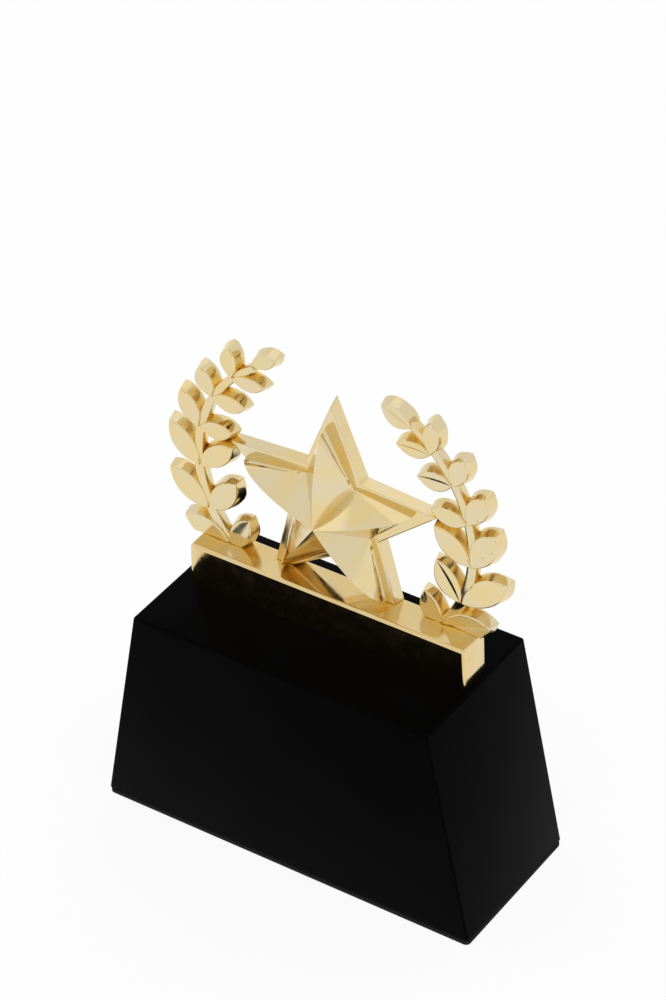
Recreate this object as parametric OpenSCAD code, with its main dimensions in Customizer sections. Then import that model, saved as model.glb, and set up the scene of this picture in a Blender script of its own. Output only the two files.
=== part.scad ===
// Star trophy: a gilded star between two laurel branches, standing on a gold rail
// that is screwed to a black lacquered block with sloping ends.
// X runs along the rail, -Y is the front, +Z is up. The origin is the middle of the underside.

/* [Block] */
// Width of the block at its foot
block_foot_w = 120; // [108:1:180]
// Width of the block at its top
block_top_w = 95; // [95:1:107]
// Depth of the block, front to back
block_d = 49; // [34:1:90]
// Height of the wooden block
block_h = 67.3; // [56:0.1:90]

/* [Pad] */
// Thickness of the felt pad
pad_t = 1.5; // [1:0.1:4]
// How far the pad stands in from the edges of the block
pad_inset = 0; // [0:0.5:6]
// Corner radius of the pad
pad_corner_r = 1.5; // [0.5:0.5:6]

/* [Rail] */
// Length of the gold rail
rail_l = 89; // [88:0.5:92]
// Depth of the rail, front to back
rail_d = 11; // [10:0.1:18]
// Height of the rail
rail_h = 13; // [12:0.1:20]
// How far the middle of the rail sits behind the middle of the block
rail_setback = 2.6; // [0:0.1:6]
// How far the middle of the rail sits to the right of the middle of the block
rail_shift = 1.1; // [0:0.1:1.2]

/* [Star] */
// Radius from the middle of the star to its points
star_r = 34.3; // [30:0.1:36]
// Radius from the middle of the star to its notches
star_notch_r = 15.1; // [13:0.1:17]
// Height of the star's middle above the rail
star_rise = 23.9; // [22:0.1:25]
// Thickness of the star's plate
plate_t = 3.7; // [3:0.1:6]
// How far the plate's outline widens from front to back
plate_draft = 0.8; // [0.2:0.1:1.2]
// Radius to the points of the raised star
relief_r = 28.4; // [24:0.1:29]
// Radius to the notches of the raised star
relief_notch_r = 12.9; // [10:0.1:13]
// Height of the raised star's upright wall
relief_wall = 1.2; // [0.8:0.1:3]
// Height of the raised star's peak above the plate
relief_peak = 9.8; // [6:0.1:12]

/* [Laurels] */
// Thickness of a laurel branch
laurel_t = 3.7; // [3:0.1:6]
// Radius of the curve that the stem follows
stem_r = 42.5; // [41:0.5:43]
// Height of that curve's middle above the rail
stem_rise = 26; // [25:0.5:27]
// Sideways place of that curve's middle
stem_shift = 0.8; // [0:0.1:2]
// Width of the stem halfway up
stem_w = 3; // [2:0.1:4]
// How much thinner the stem gets towards its tip
stem_taper = 1.2; // [0:0.1:1.6]
// How much fuller or slimmer the leaves are than drawn
leaf_fullness = 1; // [0.8:0.02:1.1]
// How far the left branch stands in front of the right one
left_forward = 1.2; // [0:0.1:2]
// Depth of the vein cut down the middle of a leaf
vein_depth = 0.6; // [0.2:0.1:1.2]

/* [Fasteners] */
// Thread diameter of the screws that hold the rail
rail_screw_d = 4; // [3:0.5:5]
// Length of those screws under the head
rail_screw_l = 55; // [45:5:60]
// How far those screws reach into the rail
rail_screw_grip = 8; // [6:0.5:9]
// Distance between those screws
rail_screw_pitch = 56; // [50:1:60]
// Diameter of the dowel pins in the rail
pin_d = 2; // [1.5:0.1:2.4]
// Length of a dowel pin
pin_l = 8; // [7:0.5:9]
// Thread diameter of the screws behind the star
relief_screw_d = 2.5; // [2:0.5:3]
// Length of those screws, head included
relief_screw_l = 8; // [7:0.5:8]
// Distance between those screws
relief_screw_pitch = 10; // [9:0.5:11]

/* [Hidden] */

// Clearances
hole_gap = 0.05;
through_gap = 0.25;
joint_gap = 0.1;
eps = 0.01;

// Levels and places, all from the sizes above
block_z = pad_t;
rail_z = block_z + block_h;
rail_top = rail_z + rail_h;
star_z = rail_top + star_rise;
rail_back_y = rail_setback + rail_d / 2;
casting_back_y = rail_back_y - 0.3;
plate_front_y = casting_back_y - plate_t;
laurel_front_y = casting_back_y - laurel_t;

// Rail screws: head, washer and the counterbore that takes them
screw_head_d = 2 * rail_screw_d;
screw_head_h = 0.75 * rail_screw_d;
screw_hex_w = 0.75 * rail_screw_d;
washer_d = 2.25 * rail_screw_d;
washer_t = 0.8;
screw_tip_z = rail_z + rail_screw_grip;
screw_seat_z = screw_tip_z - rail_screw_l;
washer_z = screw_seat_z;
bore_top_z = washer_z + washer_t;
counterbore_r = washer_d / 2 + 0.5;

// Countersunk screws behind the star
relief_head_d = 1.9 * relief_screw_d;
relief_head_h = (relief_head_d - relief_screw_d) / 2;

// Star geometry: the slope of a point's edge gives the scale of a parallel outline
star_points = 5;
step_angle = 360 / (2 * star_points);
notch_x = star_notch_r * sin(step_angle);
notch_up = star_notch_r * cos(step_angle);
star_edge = norm([notch_x, star_r - notch_up]);
star_apothem = star_r * notch_x / star_edge;
function grown(r, by) = r * (1 + by / star_apothem);

// Where the feet of the star cross the top of the rail
foot_tip = [star_r * sin(step_angle), star_rise - star_r * cos(step_angle)];
foot_inner = [0, star_rise - star_notch_r];
foot_inner_x = foot_tip[0] * foot_inner[1] / (foot_inner[1] - foot_tip[1]);
foot_notch = [star_notch_r * sin(3 * step_angle), star_rise + star_notch_r * cos(3 * step_angle)];
foot_outer_x = foot_tip[0] - foot_tip[1] * (foot_notch[0] - foot_tip[0]) / (foot_notch[1] - foot_tip[1]);
foot_pin_x = (foot_inner_x + foot_outer_x) / 2 - pin_d / 4;

// Dowel pins: two in the star's feet, two in each laurel
pin_up = 3;
pin_down = pin_l - pin_up;
root_pin_x = stem_shift + sqrt(stem_r * stem_r - stem_rise * stem_rise) + 0.6 * stem_w;
leaf_pin_x = root_pin_x + 5;
plate_mid_y = casting_back_y - plate_t / 2;
laurel_mid_y = casting_back_y - laurel_t / 2;
function branch_forward(side) = side < 0 ? left_forward : 0;
function pin_spots(side) =
    let (y = laurel_mid_y - branch_forward(side))
    [[foot_pin_x, plate_mid_y], [root_pin_x, y], [leaf_pin_x, y]];

// Laurel leaves, lowest first, drawn for the right-hand side: root x, root height, tip x, tip height above
// the rail, then how far the leaf swells to the left and to the right of the line from root to tip
right_leaves = [
    [33.4, -1.2, 49.6, 4.3, 4.1, 3.9], [33.4, -1.4, 28.3, 8.6, 3.8, 2.4],
    [40.3, 9.4, 54.2, 20.3, 3.9, 3.6], [39.9, 9.4, 31.9, 20.2, 4.0, 2.8],
    [43.4, 22.5, 50.9, 35.8, 3.8, 3.3], [43.2, 22.6, 31.8, 32.0, 3.9, 3.1],
    [42.3, 36.3, 47.8, 46.8, 3.2, 2.8], [42.2, 36.2, 30.7, 37.1, 3.1, 2.3],
    [37.9, 47.0, 41.5, 56.6, 3.2, 2.3], [37.6, 47.1, 26.7, 46.3, 3.2, 2.5],
    [31.0, 54.6, 31.4, 65.1, 2.6, 2.3], [31.0, 54.6, 20.3, 54.4, 2.7, 2.1],
    [25.3, 61.0, 15.9, 65.0, 3.5, 2.4]];
left_leaves = [
    [33.6, -1.4, 48.6, 4.4, 3.9, 3.8], [33.4, -1.2, 27.5, 9.5, 3.1, 3.1],
    [40.4, 9.6, 52.8, 19.1, 3.7, 4.0], [40.2, 9.6, 31.0, 21.2, 3.9, 3.0],
    [42.7, 23.3, 52.1, 35.1, 3.0, 4.2], [42.6, 23.3, 31.3, 33.1, 3.1, 3.1],
    [42.4, 36.3, 47.8, 47.0, 2.7, 3.5], [42.2, 36.5, 31.2, 37.9, 3.1, 2.2],
    [37.5, 48.0, 41.2, 56.6, 2.2, 3.5], [37.5, 47.8, 26.8, 47.8, 3.1, 2.2],
    [30.8, 56.5, 31.1, 66.3, 1.7, 3.3], [31.0, 56.5, 20.1, 57.0, 2.7, 1.6],
    [24.2, 63.2, 16.2, 67.4, 2.0, 2.1]];
stem_start_angle = -46;
stem_end_angle = 58;
stem_setback = 0.5;
leaf_root = 0.4;

function star_outline(r, notch) =
    [for (i = [0 : 2 * star_points - 1])
        let (a = 90 - step_angle * i, d = i % 2 == 0 ? r : notch)
        [d * cos(a), d * sin(a)]];

// Stands a flat outline up in the XZ plane, its front at y = front
module standing(front, t) {
    translate([0, front + t, 0]) rotate([90, 0, 0]) linear_extrude(t) children();
}

module both_sides() {
    children();
    mirror([1, 0, 0]) children();
}

// ---------------------------------------------------------------- block and pad

module base_block() {
    color([0.06, 0.06, 0.06])
    difference() {
        translate([0, 0, block_z]) standing(-block_d / 2, block_d)
            polygon([[-block_foot_w / 2, 0], [block_foot_w / 2, 0],
                     [block_top_w / 2, block_h], [-block_top_w / 2, block_h]]);
        both_sides() translate([rail_screw_pitch / 2, rail_setback, 0]) {
            translate([0, 0, block_z - 1])
                cylinder(h = bore_top_z - block_z + 1, r = counterbore_r, $fn = 48);
            cylinder(h = rail_z + 1, r = rail_screw_d / 2 + through_gap, $fn = 32);
        }
    }
}

module base_pad() {
    w = block_foot_w / 2 - pad_inset;
    d = block_d / 2 - pad_inset;
    color([0.12, 0.12, 0.13])
    linear_extrude(pad_t) union() {
        square([2 * w, 2 * (d - pad_corner_r)], center = true);
        square([2 * (w - pad_corner_r), 2 * d], center = true);
        for (sx = [-1, 1], sy = [-1, 1])
            translate([sx * (w - pad_corner_r), sy * (d - pad_corner_r)]) circle(r = pad_corner_r, $fn = 32);
    }
}

// ---------------------------------------------------------------- rail and its screws

module rail() {
    color([0.86, 0.70, 0.34])
    difference() {
        translate([rail_shift - rail_l / 2, rail_setback - rail_d / 2, rail_z])
            cube([rail_l, rail_d, rail_h]);
        both_sides() translate([rail_screw_pitch / 2, rail_setback, rail_z - 1])
            cylinder(h = rail_screw_grip + 1.5, r = rail_screw_d / 2 + hole_gap, $fn = 32);
        for (side = [-1, 1]) for (p = pin_spots(side))
            translate([side * p[0], p[1], rail_top - pin_down - 0.5])
                cylinder(h = pin_down + 1.5, r = pin_d / 2 + hole_gap, $fn = 32);
    }
}

module rail_screws() {
    color([0.70, 0.71, 0.73])
    both_sides() translate([rail_screw_pitch / 2, rail_setback, 0])
    difference() {
        union() {
            translate([0, 0, screw_seat_z]) cylinder(h = rail_screw_l, r = rail_screw_d / 2, $fn = 32);
            translate([0, 0, screw_seat_z - screw_head_h])
                cylinder(h = screw_head_h, r = screw_head_d / 2, $fn = 48);
        }
        translate([0, 0, screw_seat_z - screw_head_h - 1])
            cylinder(h = screw_head_h * 0.6 + 1, d = screw_hex_w / cos(30), $fn = 6);
    }
}

module rail_washers() {
    color([0.74, 0.75, 0.77])
    both_sides() translate([rail_screw_pitch / 2, rail_setback, washer_z])
    difference() {
        cylinder(h = washer_t, r = washer_d / 2, $fn = 48);
        translate([0, 0, -1]) cylinder(h = washer_t + 2, r = rail_screw_d / 2 + through_gap, $fn = 32);
    }
}

// ---------------------------------------------------------------- star

// Flat plate whose outline widens from front to back, so that it leaves its mould
module star_blank() {
    front = star_outline(star_r, star_notch_r);
    back = star_outline(grown(star_r, plate_draft), grown(star_notch_r, plate_draft));
    n = 2 * star_points;
    polyhedron(
        points = concat([for (p = front) [p[0], plate_front_y, star_z + p[1]]],
                        [for (p = back) [p[0], casting_back_y, star_z + p[1]]],
                        [[0, plate_front_y, star_z], [0, casting_back_y, star_z]]),
        faces = concat([for (i = [0 : n - 1]) [2 * n, i, (i + 1) % n]],
                       [for (i = [0 : n - 1]) [2 * n + 1, n + (i + 1) % n, n + i]],
                       [for (i = [0 : n - 1]) [n + i, n + (i + 1) % n, (i + 1) % n, i]]));
}

module relief_screw_axes() {
    for (s = [-1, 1])
        translate([s * relief_screw_pitch / 2, casting_back_y, star_z]) rotate([90, 0, 0]) children();
}

module star_plate() {
    color([0.87, 0.72, 0.38])
    difference() {
        star_blank();
        translate([-star_r, casting_back_y - 2 * plate_t, rail_top - star_r])
            cube([2 * star_r, 3 * plate_t, star_r]);
        both_sides() translate([foot_pin_x, plate_mid_y, rail_top - 1])
            cylinder(h = pin_up + 1.5, r = pin_d / 2 + hole_gap, $fn = 32);
        relief_screw_axes() {
            translate([0, 0, -1]) cylinder(h = plate_t + 2, r = relief_screw_d / 2 + hole_gap, $fn = 32);
            translate([0, 0, -eps])
                cylinder(h = relief_head_h + eps, r1 = relief_head_d / 2 + hole_gap + eps,
                         r2 = relief_screw_d / 2 + hole_gap, $fn = 48);
        }
    }
}

// Height of a point's ridge above the plate: a quarter ellipse from the tip to the peak
ridge_steps = 10;
function ridge_height(t) = relief_wall + (relief_peak - relief_wall) * sqrt(1 - t * t);

// The raised star: upright walls, then facets that fan from each notch to the arched ridges
module relief_blank() {
    base = star_outline(relief_r, relief_notch_r);
    n = 2 * star_points;
    m = ridge_steps;
    ridge = [for (i = [0 : star_points - 1], j = [0 : m - 1])
        let (a = 90 - 2 * step_angle * i, t = cos(90 * j / m), r = relief_r * t)
        [r * cos(a), plate_front_y - ridge_height(t), star_z + r * sin(a)]];
    low = [for (p = base) [p[0], plate_front_y, star_z + p[1]]];
    high = [for (p = base) [p[0], plate_front_y - relief_wall, star_z + p[1]]];
    peak = [0, plate_front_y - relief_peak, star_z];
    foot = [0, plate_front_y, star_z];
    ridge_at = 2 * n;
    peak_at = 2 * n + star_points * m;
    foot_at = peak_at + 1;
    function on_ridge(i, j) = j == m ? peak_at : ridge_at + (i % star_points) * m + j;
    polyhedron(
        points = concat(low, high, ridge, [peak, foot]),
        faces = concat(
            [for (i = [0 : n - 1]) [foot_at, (i + 1) % n, i]],
            [for (i = [0 : n - 1])
                let (tip = i % 2 == 0 ? on_ridge(i / 2, 0) : n + i,
                     next = i % 2 == 0 ? n + i + 1 : on_ridge((i + 1) / 2, 0))
                [i, (i + 1) % n, next, tip]],
            [for (i = [0 : star_points - 1], j = [0 : m - 1])
                [on_ridge(i, j), n + 2 * i + 1, on_ridge(i, j + 1)]],
            [for (i = [0 : star_points - 1], j = [0 : m - 1])
                [on_ridge(i + 1, j + 1), n + 2 * i + 1, on_ridge(i + 1, j)]]));
}

module star_relief() {
    color([0.90, 0.77, 0.45])
    difference() {
        relief_blank();
        relief_screw_axes() translate([0, 0, plate_t - 1])
            cylinder(h = relief_screw_l - plate_t + 1.5, r = relief_screw_d / 2 + hole_gap, $fn = 32);
        translate([-star_r, plate_front_y - 2 * relief_peak, rail_top - star_r])
            cube([2 * star_r, 3 * relief_peak, star_r + joint_gap]);
    }
}

module relief_screws() {
    color([0.70, 0.71, 0.73])
    relief_screw_axes() union() {
        cylinder(h = relief_screw_l, r = relief_screw_d / 2, $fn = 32);
        cylinder(h = relief_head_h, r1 = relief_head_d / 2, r2 = relief_screw_d / 2, $fn = 48);
    }
}

module dowel_pins() {
    color([0.62, 0.63, 0.65])
    for (side = [-1, 1]) for (p = pin_spots(side))
        translate([side * p[0], p[1], rail_top - pin_down]) cylinder(h = pin_l, r = pin_d / 2, $fn = 32);
}

// ---------------------------------------------------------------- laurels

// A leaf outline from its root at the origin to its tip on +X: an arc on each side
module leaf_outline(l, left, right) {
    left_r = (l * l / 4 + left * left) / (2 * left);
    right_r = (l * l / 4 + right * right) / (2 * right);
    intersection() {
        translate([l / 2, left - left_r]) circle(r = left_r, $fn = 96);
        translate([l / 2, right_r - right]) circle(r = right_r, $fn = 96);
    }
}

// Places its children at the root of each leaf, with +X along the leaf
module each_leaf(leaves) {
    for (leaf = leaves) {
        run = [leaf[2] - leaf[0], leaf[3] - leaf[1]];
        translate([leaf[0], leaf[1]]) rotate(atan2(run[1], run[0])) {
            $length = norm(run);
            $left = leaf[4] * leaf_fullness;
            $right = leaf[5] * leaf_fullness;
            children();
        }
    }
}

// A curved band that thins towards the tip: the space between two circles off centre
module stem_outline() {
    reach = 2 * stem_r;
    intersection() {
        difference() {
            translate([stem_shift, stem_rise]) circle(r = stem_r + stem_w / 2, $fn = 180);
            translate([stem_shift, stem_rise])
                translate([stem_taper * cos(stem_end_angle), stem_taper * sin(stem_end_angle)])
                    circle(r = stem_r - stem_w / 2, $fn = 180);
        }
        translate([stem_shift, stem_rise])
            polygon([[0, 0], reach * [cos(stem_start_angle), sin(stem_start_angle)], [reach, 0],
                     reach * [cos(stem_end_angle), sin(stem_end_angle)]]);
    }
}

// Keeps a laurel above the rail and clear of the star's side point
module trimmed() {
    grow = plate_draft + joint_gap;
    difference() {
        children();
        translate([-stem_r, -stem_r]) square([3 * stem_r, stem_r]);
        translate([0, star_rise]) polygon(star_outline(grown(star_r, grow), grown(star_notch_r, grow)));
    }
}

module laurel(leaves, forward) {
    front_y = laurel_front_y - forward;
    difference() {
        union() {
            translate([0, 0, rail_top]) standing(front_y, laurel_t)
                trimmed() each_leaf(leaves)
                    translate([-leaf_root, 0]) leaf_outline($length + leaf_root, $left, $right);
            translate([0, 0, rail_top]) standing(front_y + stem_setback, laurel_t - stem_setback)
                trimmed() stem_outline();
        }
        translate([0, front_y, rail_top]) rotate([90, 0, 0])
            each_leaf(leaves)
                translate([$length * 0.14, 0, 0]) rotate([90, 0, 90]) linear_extrude($length * 0.72)
                    polygon([[-2 * vein_depth, eps], [2 * vein_depth, eps], [0, -vein_depth]]);
        for (x = [root_pin_x, leaf_pin_x])
            translate([x, laurel_mid_y - forward, rail_top - 1])
                cylinder(h = pin_up + 1.5, r = pin_d / 2 + hole_gap, $fn = 32);
    }
}

module laurel_right() {
    color([0.86, 0.72, 0.38]) laurel(right_leaves, 0);
}

module laurel_left() {
    color([0.86, 0.72, 0.38]) mirror([1, 0, 0]) laurel(left_leaves, left_forward);
}

base_block();
base_pad();
rail();
rail_screws();
rail_washers();
star_plate();
star_relief();
relief_screws();
dowel_pins();
laurel_left();
laurel_right();
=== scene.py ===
import math

import bmesh
import bpy
from mathutils import Matrix, Vector
from mathutils.bvhtree import BVHTree


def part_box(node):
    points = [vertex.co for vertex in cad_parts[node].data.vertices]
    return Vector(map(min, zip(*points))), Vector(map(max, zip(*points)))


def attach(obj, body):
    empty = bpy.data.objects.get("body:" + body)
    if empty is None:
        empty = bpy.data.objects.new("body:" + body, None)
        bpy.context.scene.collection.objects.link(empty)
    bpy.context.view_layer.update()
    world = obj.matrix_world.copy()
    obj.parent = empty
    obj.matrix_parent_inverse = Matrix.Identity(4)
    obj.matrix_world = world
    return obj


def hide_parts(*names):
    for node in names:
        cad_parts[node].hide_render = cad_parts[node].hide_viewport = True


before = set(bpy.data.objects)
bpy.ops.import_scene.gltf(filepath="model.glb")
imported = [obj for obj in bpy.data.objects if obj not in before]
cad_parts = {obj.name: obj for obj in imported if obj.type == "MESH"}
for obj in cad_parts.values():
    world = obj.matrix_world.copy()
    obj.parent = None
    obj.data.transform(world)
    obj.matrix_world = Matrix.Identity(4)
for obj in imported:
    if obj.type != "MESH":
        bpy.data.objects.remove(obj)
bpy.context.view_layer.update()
mm = 0.001
tiny = 0.01 * mm
print("frame loaded")


# small helpers for working as by hand


def deselectAll():
    if bpy.context.object and bpy.context.object.mode != "OBJECT":
        bpy.ops.object.mode_set(mode="OBJECT")
    bpy.ops.object.select_all(action="DESELECT")


def pick(piece):
    deselectAll()
    piece.select_set(True)
    bpy.context.view_layer.objects.active = piece


def addPiece(name, operator, **settings):
    deselectAll()
    operator(**settings)
    piece = bpy.context.object
    piece.name = name
    piece.data.name = name
    bpy.ops.object.transform_apply(location=True, rotation=True, scale=True)
    return piece


def edit(piece, kind="FACE"):
    pick(piece)
    bpy.ops.object.mode_set(mode="EDIT")
    bpy.ops.mesh.select_mode(type=kind)
    bpy.ops.mesh.select_all(action="SELECT")


def selectWhere(piece, kind, test):
    bpy.ops.mesh.select_mode(type=kind)
    bpy.ops.mesh.select_all(action="DESELECT")
    mesh = bmesh.from_edit_mesh(piece.data)
    parts = {"VERT": mesh.verts, "EDGE": mesh.edges, "FACE": mesh.faces}[kind]
    for part in parts:
        part.select = test(part)
    mesh.select_flush_mode()
    bmesh.update_edit_mesh(piece.data)


def leaveEdit():
    bpy.ops.object.mode_set(mode="OBJECT")


def bevelEdges(piece, width, segments, angle=40):
    pick(piece)
    step = piece.modifiers.new("softEdges", "BEVEL")
    step.width = width
    step.segments = segments
    step.limit_method = "ANGLE"
    step.angle_limit = math.radians(angle)
    bpy.ops.object.modifier_apply(modifier=step.name)


def roundEdges(piece, width, segments, angle=40):
    edit(piece)
    limit = math.radians(angle)
    selectWhere(piece, "EDGE", lambda e: e.is_manifold and e.is_convex and e.calc_face_angle() > limit)
    bpy.ops.mesh.bevel(offset=width, segments=segments, affect="EDGES", clamp_overlap=False)
    leaveEdit()


def refine(piece, levels):
    pick(piece)
    step = piece.modifiers.new("finer", "SUBSURF")
    step.subdivision_type = "SIMPLE"
    step.levels = levels
    step.render_levels = levels
    bpy.ops.object.modifier_apply(modifier=step.name)


def smooth(piece, angle):
    pick(piece)
    bpy.ops.object.shade_smooth_by_angle(angle=math.radians(angle), keep_sharp_edges=True)


def copyPiece(piece, name):
    twin = piece.copy()
    twin.data = piece.data.copy()
    twin.name = name
    bpy.context.collection.objects.link(twin)
    return twin


def settle(piece, nodes, material):
    piece.data.materials.clear()
    piece.data.materials.append(material)
    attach(piece, "root")
    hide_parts(*nodes)


# camera and studio

cameraPlace = {
    "azimuth": 34.59,
    "elevation": 37.19,
    "roll": -1.65,
    "target": (2.98 * mm, 0.0, 113.4 * mm),
    "distance": 1083.2 * mm,
    "lens": 147.5,
    "sensor": 36,
}

studio = {
    "surround": 0.90,
    "floorSize": 9.0,
    "floorColour": (0.10, 0.10, 0.10),
    "floorGlow": 0.90,
    "lampsAimAt": (0, 0, 0.1),
    "lamps": [
        {"name": "topSoftbox", "at": (-0.5, 0.3, 1.7), "size": 1.1, "power": 0.6},
        {"name": "leftSoftbox", "at": (-1.6, -0.6, 0.8), "size": 0.8, "power": 0.4},
    ],
}


def makeCamera():
    azimuth = math.radians(cameraPlace["azimuth"])
    elevation = math.radians(cameraPlace["elevation"])
    roll = math.radians(cameraPlace["roll"])
    back = Vector((math.sin(azimuth) * math.cos(elevation),
                   -math.cos(azimuth) * math.cos(elevation), math.sin(elevation)))
    right = Vector((math.cos(azimuth), math.sin(azimuth), 0))
    up = back.cross(right)
    rolledRight = right * math.cos(roll) + up * math.sin(roll)
    rolledUp = up * math.cos(roll) - right * math.sin(roll)
    deselectAll()
    bpy.ops.object.camera_add()
    camera = bpy.context.object
    camera.name = "camera"
    turn = Matrix((rolledRight, rolledUp, back)).transposed().to_4x4()
    place = Vector(cameraPlace["target"]) + back * cameraPlace["distance"]
    camera.matrix_world = Matrix.Translation(place) @ turn
    camera.data.sensor_width = cameraPlace["sensor"]
    camera.data.lens = cameraPlace["lens"]
    camera.data.clip_start = 0.05
    camera.data.dof.use_dof = False
    bpy.context.scene.camera = camera


def makeStudio():
    scene = bpy.context.scene
    world = bpy.data.worlds.new("studioWhite")
    world.use_nodes = True
    world.node_tree.nodes["Background"].inputs["Color"].default_value = (1, 1, 1, 1)
    world.node_tree.nodes["Background"].inputs["Strength"].default_value = studio["surround"]
    scene.world = world
    floor = addPiece("floor", bpy.ops.mesh.primitive_plane_add, size=studio["floorSize"])
    paint = bpy.data.materials.new("floorPaper")
    paint.use_nodes = True
    shader = paint.node_tree.nodes["Principled BSDF"]
    shader.inputs["Base Color"].default_value = (*studio["floorColour"], 1)
    shader.inputs["Roughness"].default_value = 0.9
    shader.inputs["Specular IOR Level"].default_value = 0.0
    shader.inputs["Emission Color"].default_value = (1, 1, 1, 1)
    shader.inputs["Emission Strength"].default_value = studio["floorGlow"]
    floor.data.materials.append(paint)
    for lamp in studio["lamps"]:
        deselectAll()
        bpy.ops.object.light_add(type="AREA", location=lamp["at"])
        light = bpy.context.object
        light.name = lamp["name"]
        light.data.size = lamp["size"]
        light.data.energy = lamp["power"]
        aim = Vector(studio["lampsAimAt"]) - Vector(lamp["at"])
        light.rotation_euler = aim.to_track_quat("-Z", "Y").to_euler()
    scene.view_settings.view_transform = "Standard"
    scene.view_settings.look = "None"
    scene.cycles.max_bounces = 16
    scene.cycles.glossy_bounces = 12


makeCamera()
makeStudio()
print("camera and studio ready")


# materials


def newMaterial(name):
    material = bpy.data.materials.new(name)
    material.use_nodes = True
    return material, material.node_tree, material.node_tree.nodes["Principled BSDF"]


def addNode(tree, kind, **values):
    node = tree.nodes.new(kind)
    for key, value in values.items():
        if hasattr(node, key):
            setattr(node, key, value)
        else:
            node.inputs[key].default_value = value
    return node


def noiseAt(tree, size, detail=3.0, roughness=0.5, stretch=(1, 1, 1)):
    place = addNode(tree, "ShaderNodeTexCoord")
    mapping = addNode(tree, "ShaderNodeMapping")
    mapping.inputs["Scale"].default_value = stretch
    tree.links.new(place.outputs["Object"], mapping.inputs["Vector"])
    noise = addNode(tree, "ShaderNodeTexNoise")
    noise.inputs["Scale"].default_value = 1 / size
    noise.inputs["Detail"].default_value = detail
    noise.inputs["Roughness"].default_value = roughness
    tree.links.new(mapping.outputs["Vector"], noise.inputs["Vector"])
    return noise.outputs["Fac"]


def remap(tree, value, fromLow, fromHigh, toLow, toHigh):
    node = addNode(tree, "ShaderNodeMapRange")
    node.inputs["From Min"].default_value = fromLow
    node.inputs["From Max"].default_value = fromHigh
    node.inputs["To Min"].default_value = toLow
    node.inputs["To Max"].default_value = toHigh
    tree.links.new(value, node.inputs["Value"])
    return node.outputs["Result"]


def combine(tree, how, first, second):
    node = addNode(tree, "ShaderNodeMath", operation=how)
    for socket, value in zip(node.inputs, (first, second)):
        if isinstance(value, (int, float)):
            socket.default_value = value
        else:
            tree.links.new(value, socket)
    return node.outputs["Value"]


def mixColours(tree, share, first, second):
    node = addNode(tree, "ShaderNodeMix", data_type="RGBA")
    tree.links.new(share, node.inputs[0])
    for socket, value in ((node.inputs[6], first), (node.inputs[7], second)):
        if isinstance(value, tuple):
            socket.default_value = (*value, 1)
        else:
            tree.links.new(value, socket)
    return node.outputs[2]


def bump(tree, height, depth, before=None):
    node = addNode(tree, "ShaderNodeBump")
    node.inputs["Strength"].default_value = 1.0
    node.inputs["Distance"].default_value = depth
    tree.links.new(height, node.inputs["Height"])
    if before is not None:
        tree.links.new(before, node.inputs["Normal"])
    return node.outputs["Normal"]


castGold = {
    "pale": (0.76, 0.65, 0.42),
    "warm": (0.80, 0.63, 0.31),
    # painted reflection: the deep yellow of gold mirrored in gold, laid into crevices as colour
    "paintedReflection": (1.0, 0.75, 0.26),
    "tarnish": (0.38, 0.235, 0.08),
    "mottleSize": 9.0 * mm,
    "paintedReflectionFrom": 0.18,
    "paintedReflectionTo": 0.50,
    "paintedReflectionShare": 0.85,
    "glossy": 0.07,
    "dull": 0.16,
    "sheenSize": 4.0 * mm,
    "waveSize": 5.0 * mm,
    "waveDepth": 0.03 * mm,
    "creviceBlur": 0.22,
    "blurFrom": 0.06,
    "blurTo": 0.40,
    "scratchSize": 0.35 * mm,
    "scratchStretch": (0.06, 1, 1.3),
    "scratchDepth": 0.0016 * mm,
    "pitSpacing": 4.2 * mm,
    "pitDepth": 0.06 * mm,
    "tarnishFrom": 0.52,
    "tarnishTo": 0.84,
    "tarnishPatchSize": 1.1 * mm,
    "tarnishPatchiness": (0.45, 1.25),
}

railGold = {
    **castGold,
    "pale": (0.77, 0.62, 0.34),
    "warm": (0.77, 0.57, 0.25),
    "glossy": 0.06,
    "dull": 0.20,
    "waveSize": 16.0 * mm,
    "waveDepth": 0.010 * mm,
    "pitDepth": 0.0,
    "tarnishFrom": 0.28,
    "tarnishTo": 0.80,
}


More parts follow.
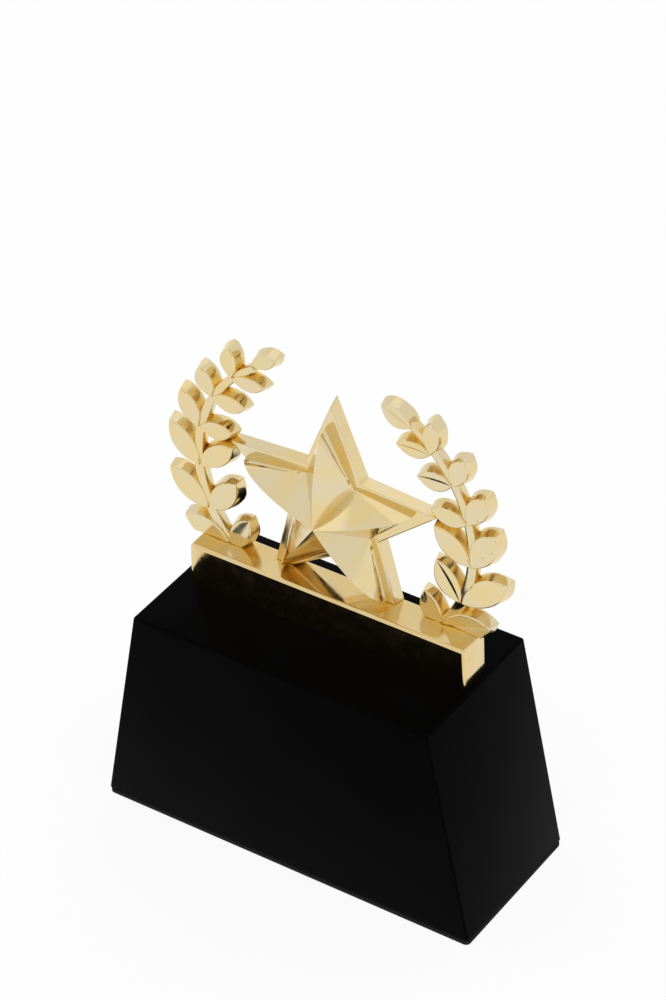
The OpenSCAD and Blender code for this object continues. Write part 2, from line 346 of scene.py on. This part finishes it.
def makeGold(name, look):
    material, tree, shader = newMaterial(name)
    crevice = addNode(tree, "ShaderNodeAttribute", attribute_name="crevice").outputs["Fac"]
    mottling = remap(tree, noiseAt(tree, look["mottleSize"], 4), 0.35, 0.65, 0, 1)
    colour = mixColours(tree, mottling, look["pale"], look["warm"])
    # painted reflection: the more closed in a vertex is, the more of the deep yellow of gold mirrored in
    # gold is mixed in
    depth = remap(tree, crevice, look["paintedReflectionFrom"], look["paintedReflectionTo"], 0, look["paintedReflectionShare"])
    colour = mixColours(tree, depth, colour, look["paintedReflection"])
    grime = remap(tree, crevice, look["tarnishFrom"], look["tarnishTo"], 0, 1)
    patchNoise = noiseAt(tree, look["tarnishPatchSize"], 5, 0.65)
    patches = remap(tree, patchNoise, 0.3, 0.7, *look["tarnishPatchiness"])
    tarnish = combine(tree, "MULTIPLY", grime, patches)
    tarnish = combine(tree, "MINIMUM", tarnish, 1.0)
    colour = mixColours(tree, tarnish, colour, look["tarnish"])
    tree.links.new(colour, shader.inputs["Base Color"])
    sheenNoise = noiseAt(tree, look["sheenSize"], 5, 0.6)
    sheen = remap(tree, sheenNoise, 0.3, 0.75, look["glossy"], look["dull"])
    sheltered = remap(tree, crevice, look["blurFrom"], look["blurTo"], 0, look["creviceBlur"])
    rough = combine(tree, "ADD", sheen, sheltered)
    tree.links.new(rough, shader.inputs["Roughness"])
    shader.inputs["Metallic"].default_value = 1.0
    waves = bump(tree, noiseAt(tree, look["waveSize"], 1.0, 0.4), look["waveDepth"])
    scratches = noiseAt(tree, look["scratchSize"], 2.0, 0.6, look["scratchStretch"])
    surface = bump(tree, scratches, look["scratchDepth"], waves)
    if look["pitDepth"] > 0:
        place = addNode(tree, "ShaderNodeTexCoord")
        cells = addNode(tree, "ShaderNodeTexVoronoi")
        cells.inputs["Scale"].default_value = 1 / look["pitSpacing"]
        tree.links.new(place.outputs["Object"], cells.inputs["Vector"])
        pits = remap(tree, cells.outputs["Distance"], 0.03, 0.075, 0, 1)
        surface = bump(tree, pits, look["pitDepth"], surface)
    tree.links.new(surface, shader.inputs["Normal"])
    return material


blackLacquer = {
    "colour": (0.0008, 0.0008, 0.0009),
    "bloom": (0.0014, 0.0014, 0.0015),
    "cloudSize": 30.0 * mm,
    "glossy": 0.20,
    "dull": 0.30,
    "sheenSize": 12.0 * mm,
    "specular": 0.012,
    "peelSize": 1.6 * mm,
    "peelDepth": 0.004 * mm,
}


def makeLacquer():
    look = blackLacquer
    material, tree, shader = newMaterial("blackLacquer")
    cloud = remap(tree, noiseAt(tree, look["cloudSize"], 4), 0.35, 0.65, 0, 1)
    tree.links.new(mixColours(tree, cloud, look["colour"], look["bloom"]), shader.inputs["Base Color"])
    sheenNoise = noiseAt(tree, look["sheenSize"], 5, 0.6)
    sheen = remap(tree, sheenNoise, 0.3, 0.7, look["glossy"], look["dull"])
    tree.links.new(sheen, shader.inputs["Roughness"])
    shader.inputs["Specular IOR Level"].default_value = look["specular"]
    surface = bump(tree, noiseAt(tree, look["peelSize"], 2.0), look["peelDepth"])
    tree.links.new(surface, shader.inputs["Normal"])
    return material


blackFelt = {
    "colour": (0.010, 0.010, 0.011),
    "worn": (0.018, 0.018, 0.019),
    "fibreSize": 0.4 * mm,
    "fibreDepth": 0.05 * mm,
    "rough": 0.95,
    "specular": 0.1,
}


def makeFelt():
    look = blackFelt
    material, tree, shader = newMaterial("blackFelt")
    fibres = noiseAt(tree, look["fibreSize"], 6, 0.75, (1, 1, 3))
    colour = mixColours(tree, remap(tree, fibres, 0.35, 0.65, 0, 1), look["colour"], look["worn"])
    tree.links.new(colour, shader.inputs["Base Color"])
    shader.inputs["Roughness"].default_value = look["rough"]
    shader.inputs["Specular IOR Level"].default_value = look["specular"]
    tree.links.new(bump(tree, fibres, look["fibreDepth"]), shader.inputs["Normal"])
    return material


zincSteel = {
    "colour": (0.60, 0.61, 0.63),
    "dull": (0.48, 0.48, 0.49),
    "turningSize": 0.5 * mm,
    "turningDepth": 0.003 * mm,
    "glossy": 0.24,
    "rough": 0.4,
}


def makeSteel():
    look = zincSteel
    material, tree, shader = newMaterial("zincSteel")
    turning = noiseAt(tree, look["turningSize"], 3, 0.6, (1, 1, 0.2))
    colour = mixColours(tree, remap(tree, turning, 0.3, 0.7, 0, 1), look["colour"], look["dull"])
    tree.links.new(colour, shader.inputs["Base Color"])
    sheen = remap(tree, turning, 0.3, 0.7, look["glossy"], look["rough"])
    tree.links.new(sheen, shader.inputs["Roughness"])
    shader.inputs["Metallic"].default_value = 1.0
    tree.links.new(bump(tree, turning, look["turningDepth"]), shader.inputs["Normal"])
    return material


goldForCastings = makeGold("castGold", castGold)
goldForRail = makeGold("railGold", railGold)
lacquer = makeLacquer()
felt = makeFelt()
steel = makeSteel()
print("materials ready")


# block and pad

blockShape = {"edgeRadius": 0.7 * mm, "edgeSegments": 4}
padShape = {"cornerRadius": 1.5 * mm, "edgeRadius": 0.35 * mm}


def makeBlock():
    low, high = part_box("base_block")
    corners = [v.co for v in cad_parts["base_block"].data.vertices]
    topWidth = 2 * max(corner.x for corner in corners if corner.z > high.z - tiny)
    block = addPiece("baseBlock", bpy.ops.mesh.primitive_cube_add, size=1,
                     location=(low + high) / 2, scale=high - low)
    edit(block)
    selectWhere(block, "VERT", lambda v: v.co.z > (low.z + high.z) / 2)
    bpy.ops.transform.resize(value=(topWidth / (high.x - low.x), 1, 1), center_override=(0, 0, high.z))
    leaveEdit()
    bevelEdges(block, blockShape["edgeRadius"], blockShape["edgeSegments"], 30)
    smooth(block, 35)
    settle(block, ["base_block"], lacquer)


def makePad():
    low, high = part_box("base_pad")
    pad = addPiece("basePad", bpy.ops.mesh.primitive_cube_add, size=1,
                   location=(low + high) / 2, scale=high - low)
    edit(pad)
    selectWhere(pad, "EDGE", lambda e: abs(e.verts[0].co.z - e.verts[1].co.z) > tiny)
    bpy.ops.mesh.bevel(offset=padShape["cornerRadius"], segments=8, affect="EDGES")
    leaveEdit()
    bevelEdges(pad, padShape["edgeRadius"], 3, 50)
    smooth(pad, 40)
    settle(pad, ["base_pad"], felt)


makeBlock()
makePad()
print("block and pad made")


# rail

railShape = {
    "edgeRadius": 0.9 * mm,
    "edgeSegments": 4,
    "cell": 1.0 * mm,
    "draft": 0.3 * mm,
    "worn": 0.25 * mm,
    "wornLength": 3.0 * mm,
    "frontDepth": 0.1 * mm,
}


def makeRail():
    low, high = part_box("rail")
    rail = addPiece("rail", bpy.ops.mesh.primitive_cube_add, size=1,
                    location=(low + high) / 2, scale=high - low)
    edit(rail)
    # even cells, cut along each side in turn
    for axis in range(3):
        cuts = round((high[axis] - low[axis]) / railShape["cell"]) - 1
        selectWhere(rail, "EDGE", lambda e: abs(e.verts[0].co[axis] - e.verts[1].co[axis]) > tiny)
        bpy.ops.mesh.subdivide(number_cuts=cuts)
    # every edge is rounded but those along the foot
    selectWhere(rail, "EDGE",
                lambda e: e.calc_face_angle() > 1 and max(v.co.z for v in e.verts) > low.z + tiny)
    bpy.ops.mesh.bevel(offset=railShape["edgeRadius"], segments=railShape["edgeSegments"], affect="EDGES")
    leaveEdit()
    # the ends lean in towards the top, and polishing has worn the left end of the front
    middle = (low.x + high.x) / 2
    for vertex in rail.data.vertices:
        share = (vertex.co.z - low.z) / (high.z - low.z)
        vertex.co.x -= railShape["draft"] * share * (vertex.co.x - middle) / (high.x - middle)
        near = max(0.0, 1 - (vertex.co.x - low.x) / railShape["wornLength"])
        if vertex.co.y < low.y + railShape["frontDepth"]:
            vertex.co.y += railShape["worn"] * near * near
    refine(rail, 1)
    smooth(rail, 30)
    settle(rail, ["rail"], goldForRail)
    return rail


# star

starShape = {
    "tip": 34.3 * mm,
    "notch": 15.1 * mm,
    "rise": 23.9 * mm,
    "draft": 0.8 * mm,
    "edgeRadius": 0.28 * mm,
    "reliefTip": 28.4 * mm,
    "reliefNotch": 12.9 * mm,
    "wall": 0.7 * mm,
    "peak": 9.8 * mm,
    "reliefTurn": -1.5,
    "shortTip": 0.965,
    "shortFrom": 0.45,
    "ridgeEase": 0.55,
    "fineness": 24,
}
starPoints = 5


# a flat ten-cornered star facing -Y, one point up
def makeStarBlank(name, tip, notch, centre):
    star = addPiece(name, bpy.ops.mesh.primitive_circle_add, vertices=2 * starPoints, radius=1,
                    fill_type="TRIFAN", rotation=(math.pi / 2, 0, 0))
    for vertex in star.data.vertices:
        flat = Vector((vertex.co.x, vertex.co.z))
        if flat.length < 0.5:
            vertex.co = centre
            continue
        turn = math.atan2(flat.x, flat.y)
        index = round(turn / (math.pi / starPoints)) % (2 * starPoints)
        turn = index * math.pi / starPoints
        radius = tip if index % 2 == 0 else notch
        vertex.co = centre + Vector((radius * math.sin(turn), 0, radius * math.cos(turn)))
    return star


def makeStarPlate():
    low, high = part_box("star_plate")
    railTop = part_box("rail")[1].z
    centre = Vector((0, low.y, railTop + starShape["rise"]))
    sector = math.pi / starPoints
    notchX = starShape["notch"] * math.sin(sector)
    edge = math.hypot(notchX, starShape["tip"] - starShape["notch"] * math.cos(sector))
    apothem = starShape["tip"] * notchX / edge
    star = makeStarBlank("starPlate", starShape["tip"], starShape["notch"], centre)
    edit(star)
    bpy.ops.mesh.extrude_region_move(TRANSFORM_OT_translate={"value": (0, high.y - low.y, 0)})
    grow = 1 + starShape["draft"] / apothem
    bpy.ops.transform.resize(value=(grow, 1, grow), center_override=(0, high.y, centre.z))
    bpy.ops.mesh.select_all(action="SELECT")
    bpy.ops.mesh.normals_make_consistent(inside=False)
    bpy.ops.mesh.bisect(plane_co=(0, 0, railTop), plane_no=(0, 0, 1), clear_inner=True, use_fill=True)
    leaveEdit()
    roundEdges(star, starShape["edgeRadius"], 3, 30)
    refine(star, 5)
    smooth(star, 25)
    settle(star, ["star_plate"], goldForCastings)
    return star


def ridgeHeight(share):
    rise = starShape["peak"] - starShape["wall"]
    return starShape["wall"] + rise * math.sqrt(max(0, 1 - share * share))


def makeStarRelief():
    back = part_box("star_relief")[1].y
    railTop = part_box("rail")[1].z
    centre = Vector((0, back, railTop + starShape["rise"]))
    relief = makeStarBlank("starRelief", starShape["reliefTip"], starShape["reliefNotch"], centre)
    edit(relief)
    bpy.ops.mesh.subdivide(number_cuts=starShape["fineness"])
    leaveEdit()
    sector = math.pi / starPoints
    for vertex in relief.data.vertices:
        x, z = vertex.co.x - centre.x, vertex.co.z - centre.z
        turn = math.atan2(x, z)
        tipTurn = round(turn / (2 * sector)) * 2 * sector
        side = 1 if turn >= tipTurn else -1
        toTip = Vector((math.sin(tipTurn), math.cos(tipTurn)))
        toNotch = Vector((math.sin(tipTurn + side * sector), math.cos(tipTurn + side * sector)))
        # every point is a share of the tip and a share of the notch
        whole = toTip.x * toNotch.y - toTip.y * toNotch.x
        tipShare = (x * toNotch.y - z * toNotch.x) / whole / starShape["reliefTip"]
        notchShare = (toTip.x * z - toTip.y * x) / whole / starShape["reliefNotch"]
        inner = 1 - notchShare
        along = min(1.0, tipShare / inner) if inner > 1e-6 else 0.0
        ease = starShape["ridgeEase"]
        eased = (1 - ease) * along + ease * math.sin(along * math.pi / 2)
        flat = toTip * starShape["reliefTip"] * eased * inner
        flat += toNotch * starShape["reliefNotch"] * notchShare
        height = notchShare * starShape["wall"] + inner * ridgeHeight(eased)
        vertex.co = Vector((centre.x + flat.x, centre.y - height, centre.z + flat.y))
    edit(relief, "EDGE")
    selectWhere(relief, "EDGE", lambda e: e.is_boundary)
    bpy.ops.mesh.extrude_edges_move(TRANSFORM_OT_translate={"value": (0, starShape["wall"], 0)})
    leaveEdit()
    edit(relief, "EDGE")
    selectWhere(relief, "EDGE", lambda e: e.is_boundary)
    bpy.ops.mesh.edge_face_add()
    bpy.ops.mesh.select_all(action="SELECT")
    bpy.ops.mesh.normals_make_consistent(inside=False)
    leaveEdit()
    # the raised star sits a little turned on its plate, its right arm a little short
    for vertex in relief.data.vertices:
        x, z = vertex.co.x - centre.x, vertex.co.z - centre.z
        if abs(math.atan2(x, z) - 2 * sector) < sector:
            outward = math.hypot(x, z) / starShape["reliefTip"] - starShape["shortFrom"]
            pull = 1 - (1 - starShape["shortTip"]) * max(0, outward) / (1 - starShape["shortFrom"])
            x, z = x * pull, z * pull
        turn = math.radians(starShape["reliefTurn"])
        vertex.co.x = centre.x + x * math.cos(turn) + z * math.sin(turn)
        vertex.co.z = centre.z + z * math.cos(turn) - x * math.sin(turn)
    smooth(relief, 16)
    settle(relief, ["star_relief"], goldForCastings)
    return relief


# laurels

stemShape = {
    "centre": (0.8 * mm, 26.0 * mm),
    "radius": 42.5 * mm,
    "width": (3.6 * mm, 2.2 * mm),
    "angles": (-45.0, 57.5),
    "setBack": 0.3 * mm,
    "roof": 0.25 * mm,
    "edgeRadius": 0.35 * mm,
}

leafShape = {
    "fullness": 2.1,
    "backFullness": 2.9,
    "draft": 0.9 * mm,
    "edgeRadius": 0.24 * mm,
    "lengthCuts": 16,
    "wallCuts": 5,
    "merge": 0.002 * mm,
    "stagger": 0.04 * mm,
    "sharpHollow": 10.5,
    "hollowCurve": 1.4,
}

# A leaf is its root and its tip (from the middle, up from the rail; mm), how far it swells to the left and
# to the right of the line between them, the shares of those that are hollowed, and the hollow's slope
rightLeaves = [
    (33.4, -1.2, 49.2, 4.3, 4.1, 3.9, 0.85, 0.85, 13), (33.4, -1.4, 28.3, 8.6, 3.8, 2.4, 0.80, 0.75, 9),
    (40.3, 9.4, 54.2, 20.3, 3.9, 3.6, 0.86, 0.86, 2), (39.9, 9.4, 31.9, 20.2, 4.0, 2.8, 0.85, 0.38, 11),
    (43.4, 22.5, 50.9, 35.8, 3.8, 3.3, 0.86, 0.86, 1), (43.2, 22.6, 31.8, 32.0, 3.9, 3.1, 0.86, 0.86, 1),
    (42.3, 36.3, 47.8, 46.8, 3.2, 2.8, 0.86, 0.86, 1), (42.2, 36.2, 30.7, 37.1, 3.1, 2.3, 0.84, 0.80, 6),
    (37.9, 47.0, 41.5, 56.6, 3.2, 2.3, 0.86, 0.86, 1), (37.6, 47.1, 26.7, 46.3, 3.2, 2.5, 0.85, 0.36, 15),
    (31.0, 54.6, 31.4, 65.1, 2.6, 2.3, 0.86, 0.86, 1), (31.0, 54.6, 20.3, 54.4, 2.7, 2.1, 0.85, 0.28, 14),
    (25.3, 61.0, 15.9, 65.0, 3.5, 2.4, 0.14, 0.20, 28),
]
leftLeaves = [
    (33.6, -1.4, 48.6, 4.4, 3.9, 3.8, 0.86, 0.86, 3), (33.4, -1.2, 27.5, 9.5, 3.1, 3.1, 0.86, 0.86, 5),
    (40.4, 9.6, 52.8, 19.1, 3.7, 4.0, 0.86, 0.86, 1), (40.2, 9.6, 31.0, 21.2, 3.9, 3.0, 0.86, 0.86, 1),
    (42.7, 23.3, 52.1, 35.1, 3.0, 4.2, 0.86, 0.86, 1), (42.6, 23.3, 31.3, 33.1, 3.1, 3.1, 0.86, 0.86, 2),
    (42.4, 36.3, 47.8, 47.0, 2.7, 3.5, 0.86, 0.86, 2), (42.2, 36.5, 31.2, 37.9, 3.1, 2.2, 0.80, 0.80, 5),
    (37.5, 48.0, 41.2, 56.6, 2.2, 3.5, 0.86, 0.86, 2), (37.5, 47.8, 26.8, 47.8, 3.1, 2.2, 0.20, 0.20, 14),
    (30.8, 56.5, 31.1, 66.3, 1.7, 3.3, 0.86, 0.86, 2), (31.0, 56.5, 20.1, 57.0, 2.7, 1.6, 0.80, 0.80, 5),
    (24.2, 63.2, 16.2, 67.4, 2.0, 2.1, 0.80, 0.80, 7),
]

# leaves whose fronts lean back, by their place in the list, in degrees
rightLean = {1: 3.0, 2: 4.5, 3: 4.5}
leftLean = {1: 5.0}


# the flat grid that every leaf is copied from: cuts along X, seven lines across
def makeLeafBlank():
    return addPiece("leafBlank", bpy.ops.mesh.primitive_grid_add, x_subdivisions=leafShape["lengthCuts"],
                    y_subdivisions=6, size=2)


# swells the blank to a leaf along +X from the origin, its front at z = 0
def shapeLeaf(leaf, length, left, right, hollowLeft, hollowRight, slope, thickness):
    deepest = math.tan(math.radians(slope)) * min(hollowLeft * left, hollowRight * right)
    for vertex in leaf.data.vertices:
        share = (vertex.co.x + 1) / 2
        full = 1 - abs(2 * share - 1) ** leafShape["fullness"]
        line = round(vertex.co.y * 3)
        side, hollow = (left, hollowLeft) if line > 0 else (right, hollowRight)
        across = {0: 0.0, 1: hollow / 2, 2: hollow, 3: 1.0}[abs(line)]
        depth = deepest * full * max(0.0, 1 - across / hollow) ** leafShape["hollowCurve"]
        vertex.co = Vector((share * length, math.copysign(across * side * full, line), -depth))
    edit(leaf, "VERT")
    bpy.ops.mesh.remove_doubles(threshold=leafShape["merge"])
    if slope >= leafShape["sharpHollow"]:
        fold = math.radians(slope / 2)
        selectWhere(leaf, "EDGE", lambda e: not e.is_boundary and e.calc_face_angle() > fold)
        bpy.ops.mesh.mark_sharp()
    bpy.ops.mesh.select_mode(type="FACE")
    bpy.ops.mesh.select_all(action="SELECT")
    bpy.ops.mesh.extrude_region_move(TRANSFORM_OT_translate={"value": (0, 0, -thickness)})
    bpy.ops.transform.resize(value=(1, 1, 0), center_override=(0, 0, -thickness))
    bpy.ops.mesh.select_all(action="SELECT")
    bpy.ops.mesh.normals_make_consistent(inside=False)
    leaveEdit()
    # the back is a little longer and blunter, so the casting leaves its mould
    draft = leafShape["draft"]
    for vertex in leaf.data.vertices:
        if vertex.co.z > tiny - thickness:
            continue
        share = vertex.co.x / length
        front = 1 - abs(2 * share - 1) ** leafShape["fullness"]
        blunt = 1 - abs(2 * share - 1) ** leafShape["backFullness"]
        side = left if vertex.co.y > 0 else right
        if front > 1e-6:
            vertex.co.y *= blunt * (side + draft) / (front * side)
        vertex.co.x = length / 2 + (vertex.co.x - length / 2) * (1 + 2 * draft / length)
    edit(leaf)
    selectWhere(leaf, "EDGE", lambda e: abs(e.verts[0].co.z - e.verts[1].co.z) > thickness / 2)
    bpy.ops.mesh.subdivide(number_cuts=leafShape["wallCuts"])
    leaveEdit()


def cutAtRail(piece, railTop):
    if min(v.co.z for v in piece.data.vertices) >= railTop:
        return
    edit(piece)
    bpy.ops.mesh.bisect(plane_co=(0, 0, railTop), plane_no=(0, 0, 1), clear_inner=True, use_fill=True)
    leaveEdit()


def placeLeaf(leaf, rootX, rootZ, ahead, front, railTop):
    way = Vector((ahead.x, 0, ahead.y)).normalized()
    aside = Vector((-way.z, 0, way.x))
    turnTo = Matrix((way, aside, Vector((0, -1, 0)))).transposed().to_4x4()
    leaf.data.transform(Matrix.Translation((rootX, front, railTop + rootZ)) @ turnTo)


def leanBack(leaf, lean, front, back, foot):
    rise = math.tan(math.radians(lean))
    for vertex in leaf.data.vertices:
        vertex.co.y += rise * (vertex.co.z - foot) * (back - vertex.co.y) / (back - front)


def makeStem(name, front, back, railTop):
    firstTurn, lastTurn = stemShape["angles"]
    wide, slim = stemShape["width"]
    stem = addPiece(name, bpy.ops.mesh.primitive_grid_add, x_subdivisions=70, y_subdivisions=4, size=2)
    cx, cz = stemShape["centre"]
    for vertex in stem.data.vertices:
        share = (vertex.co.x + 1) / 2
        turn = math.radians(firstTurn + (lastTurn - firstTurn) * share)
        width = wide + (slim - wide) * share
        radius = stemShape["radius"] - vertex.co.y * width / 2
        fall = stemShape["setBack"] + stemShape["roof"] * abs(vertex.co.y)
        height = railTop + cz + radius * math.sin(turn)
        vertex.co = Vector((cx + radius * math.cos(turn), front + fall, height))
    edit(stem)
    bpy.ops.mesh.extrude_region_move(TRANSFORM_OT_translate={"value": (0, back - front, 0)})
    bpy.ops.transform.resize(value=(1, 0, 1), center_override=(0, back, 0))
    bpy.ops.mesh.select_all(action="SELECT")
    bpy.ops.mesh.normals_make_consistent(inside=False)
    leaveEdit()
    return stem


def makeLaurel(name, node, leaves, leans, blank, mirrored):
    low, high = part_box(node)
    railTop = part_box("rail")[1].z
    made = []
    for place, row in enumerate(leaves):
        rootX, rootZ, tipX, tipZ, left, right, hollowLeft, hollowRight, slope = row
        # the leaves of a pair stand a hair apart, so where they overlap their faces don't share a plane
        inset = leafShape["stagger"] * (place % 2)
        leaf = copyPiece(blank, f"{name}Leaf")
        ahead = Vector((tipX - rootX, tipZ - rootZ)) * mm
        shapeLeaf(leaf, ahead.length, left * mm, right * mm, hollowLeft, hollowRight, slope,
                  high.y - low.y - 2 * inset)
        placeLeaf(leaf, rootX * mm, rootZ * mm, ahead, low.y + inset, railTop)
        leanBack(leaf, leans.get(place, 0), low.y, high.y, railTop + rootZ * mm)
        cutAtRail(leaf, railTop)
        roundEdges(leaf, leafShape["edgeRadius"], 3)
        made.append(leaf)
    stem = makeStem(f"{name}Stem", low.y, high.y - 3 * leafShape["stagger"], railTop)
    cutAtRail(stem, railTop)
    roundEdges(stem, stemShape["edgeRadius"], 2)
    deselectAll()
    for leaf in made:
        leaf.select_set(True)
    stem.select_set(True)
    bpy.context.view_layer.objects.active = stem
    bpy.ops.object.join()
    stem.name = name
    stem.data.name = name
    if mirrored:
        stem.data.transform(Matrix.Scale(-1, 4, (1, 0, 0)))
        edit(stem)
        bpy.ops.mesh.normals_make_consistent(inside=False)
        leaveEdit()
    smooth(stem, 28)
    settle(stem, [node], goldForCastings)
    return stem


rail = makeRail()
starPlate = makeStarPlate()
starRelief = makeStarRelief()
print("rail and star made")
leafBlank = makeLeafBlank()
laurelRight = makeLaurel("laurelRight", "laurel_right", rightLeaves, rightLean, leafBlank, False)
laurelLeft = makeLaurel("laurelLeft", "laurel_left", leftLeaves, leftLean, leafBlank, True)
pick(leafBlank)
bpy.ops.object.delete()
print("laurels made")

for node in ("rail_screws", "rail_washers", "relief_screws", "dowel_pins"):
    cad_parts[node].data.materials.clear()
    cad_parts[node].data.materials.append(steel)


# tarnish gathers, and the painted reflection of gold in gold is laid, where a vertex sees little open
# space; one buried in another piece gets none

creviceShape = {"reach": 5.0 * mm, "rays": 20, "start": 0.06 * mm, "fade": 0.6}


def rayDirections(count):
    golden = math.pi * (3 - math.sqrt(5))
    rays = []
    for k in range(count):
        height = math.sqrt((k + 0.5) / count)
        flat = math.sqrt(1 - height * height)
        rays.append(Vector((flat * math.cos(golden * k), flat * math.sin(golden * k), height)))
    return rays


def paintCrevices(pieces):
    corners, faces = [], []
    for piece in pieces:
        start = len(corners)
        corners.extend(v.co.copy() for v in piece.data.vertices)
        faces.extend([start + i for i in p.vertices] for p in piece.data.polygons)
    tree = BVHTree.FromPolygons(corners, faces)
    rays = rayDirections(creviceShape["rays"])
    reach = creviceShape["reach"]
    for piece in pieces:
        values = []
        for vertex in piece.data.vertices:
            turn = vertex.normal.to_track_quat("Z", "Y")
            start = vertex.co + vertex.normal * creviceShape["start"]
            ahead = tree.ray_cast(start, vertex.normal)
            if ahead[0] is not None and ahead[1].dot(vertex.normal) > 0:
                values.append(0.0)
                continue
            closed = 0.0
            for ray in rays:
                hit = tree.ray_cast(start, turn @ ray, reach)
                if hit[0] is not None:
                    closed += 1 - creviceShape["fade"] * hit[3] / reach
            values.append(closed / len(rays))
        layer = piece.data.attributes.new("crevice", "FLOAT", "POINT")
        layer.data.foreach_set("value", values)


paintCrevices([rail, starPlate, starRelief, laurelRight, laurelLeft])
print("crevices painted")
